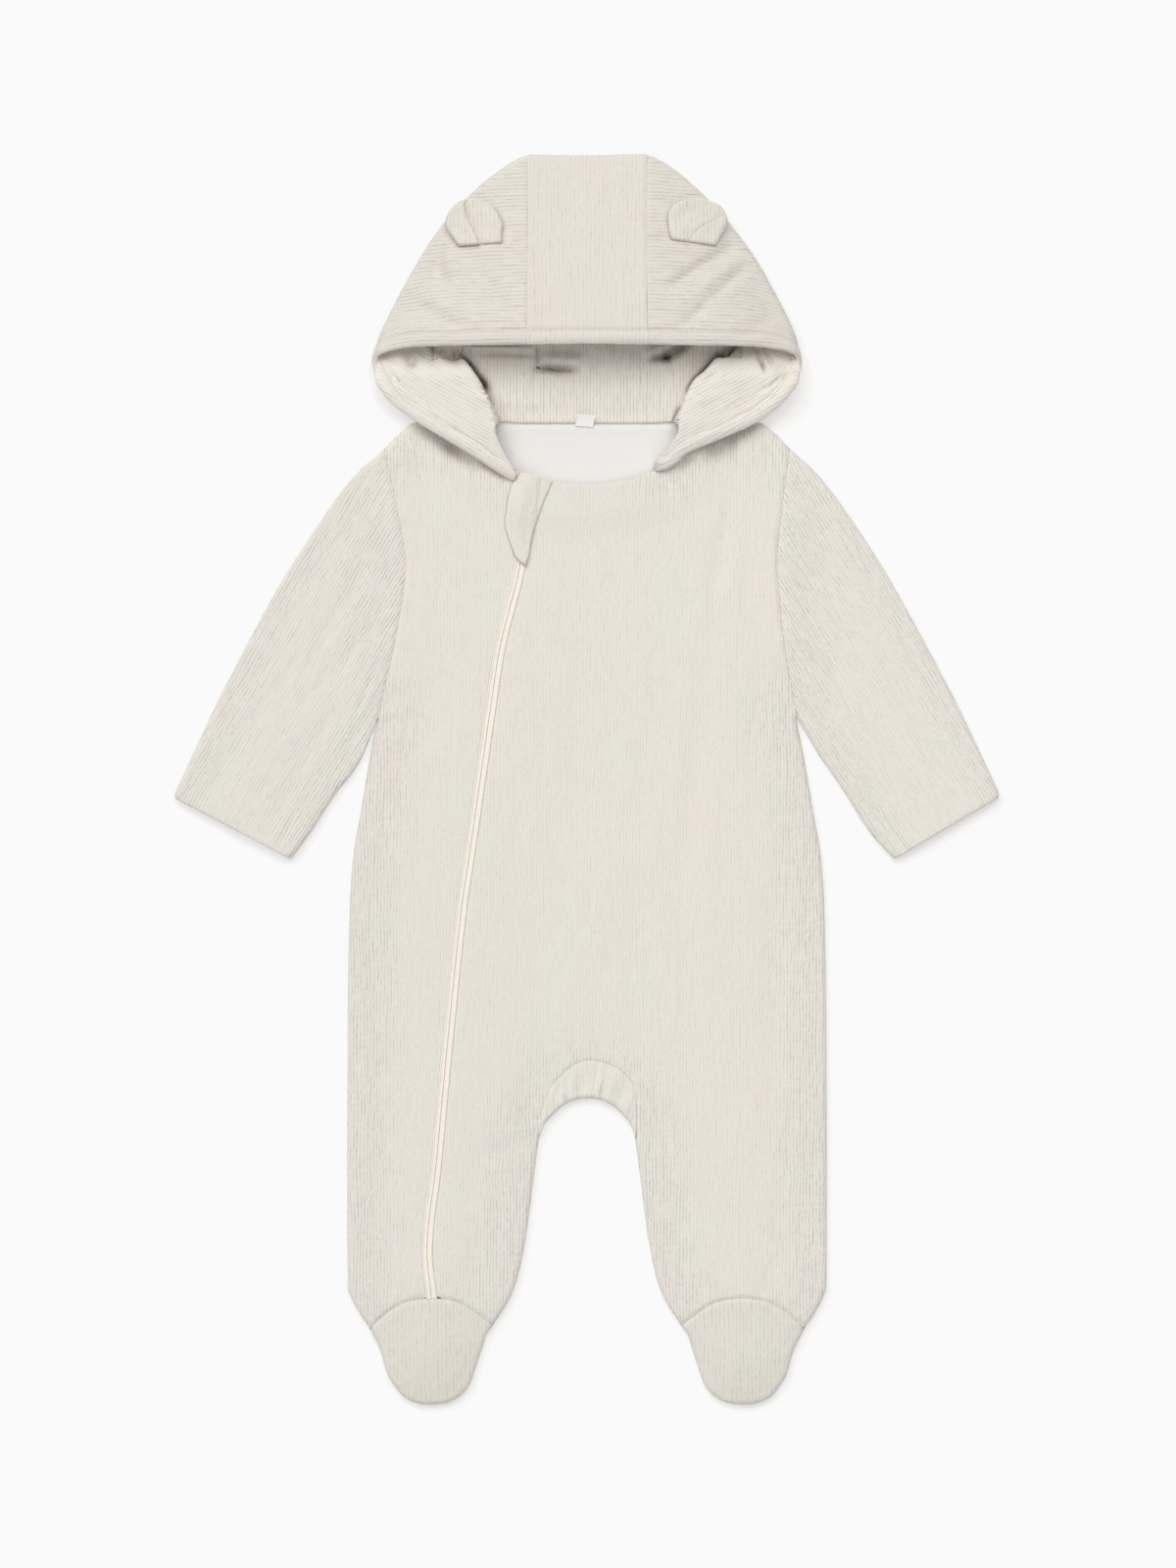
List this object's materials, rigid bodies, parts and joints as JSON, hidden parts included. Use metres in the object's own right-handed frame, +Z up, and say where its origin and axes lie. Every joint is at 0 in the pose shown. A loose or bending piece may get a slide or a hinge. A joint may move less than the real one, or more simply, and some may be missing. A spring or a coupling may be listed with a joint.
{
  "type": "hooded pramsuit",
  "caption": "Baby's hooded, footed pramsuit in padded crinkled cotton, laid flat on its back, with a slanting front zip, zip guard and two ears.",
  "frame": {"origin": "on the surface the garment lies on, under the middle of its bounding box", "axes": "+Z up off the surface, +Y from the feet to the hood's crown, +X to the right of someone who looks down at the front"},
  "size_m": [0.473, 0.7153, 0.0379],
  "materials": {
    "cotton": "crinkled padded cotton, matte",
    "foot_cotton": "crinkled padded cotton, matte",
    "hood_lining": "crinkled cotton, matte",
    "white_jersey": "smooth knit, matte",
    "zip_tape": "close woven tape, matte",
    "zip_slider": "satin",
    "size_tab": "satin"
  },
  "bodies": {
    "root": {"back_panel": "cotton", "front_side": "cotton", "front_main": "cotton", "crotch_gusset": "cotton", "sleeve_left": "cotton", "sleeve_right": "cotton", "foot_upper_left": "foot_cotton", "foot_upper_right": "foot_cotton", "foot_sole_left": "foot_cotton", "foot_sole_right": "foot_cotton", "hood_centre": "cotton", "hood_side_left": "cotton", "hood_side_right": "cotton", "hood_lining_centre": "hood_lining", "hood_lining_left": "hood_lining", "hood_lining_right": "hood_lining", "ear_left": "cotton", "ear_right": "cotton", "neck_lining": "white_jersey", "zip_tape_left": "zip_tape", "zip_tape_right": "zip_tape", "zip_slider": "zip_slider", "zip_guard": "cotton", "size_tab": "size_tab"}
  },
  "joints": []
}
